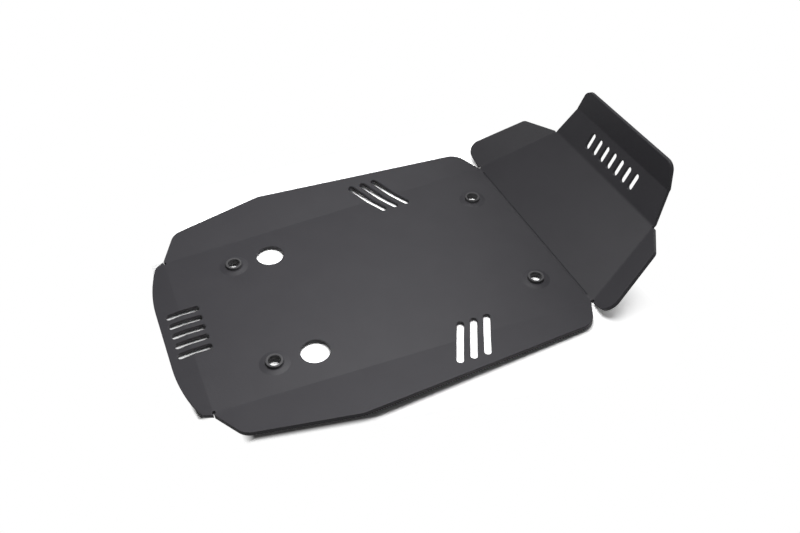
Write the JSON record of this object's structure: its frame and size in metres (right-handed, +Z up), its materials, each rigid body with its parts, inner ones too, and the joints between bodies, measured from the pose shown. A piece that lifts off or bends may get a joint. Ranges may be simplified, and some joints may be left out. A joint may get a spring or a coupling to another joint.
{
  "type": "motorcycle skid plate",
  "caption": "Folded sheet skid plate that bolts under a motorcycle engine: flat floor, raised side wings, stepped front panel, drain slots and raised mounting bushes.",
  "frame": {"origin": "middle of the bolt pattern, in the plane of the bush rims that meet the engine", "axes": "+X to the front of the motorcycle, +Y to its left, +Z up along the bolts"},
  "size_m": [0.4006, 0.2542, 0.091],
  "materials": {
    "coated_sheet": "matt black powder coat on aluminium sheet",
    "coated_bush": "matt black powder coat on turned metal"
  },
  "bodies": {
    "root": {"skid_plate": "coated_sheet", "bush_front_left": "coated_bush", "bush_front_right": "coated_bush", "bush_rear_left": "coated_bush", "bush_rear_right": "coated_bush"}
  },
  "joints": []
}
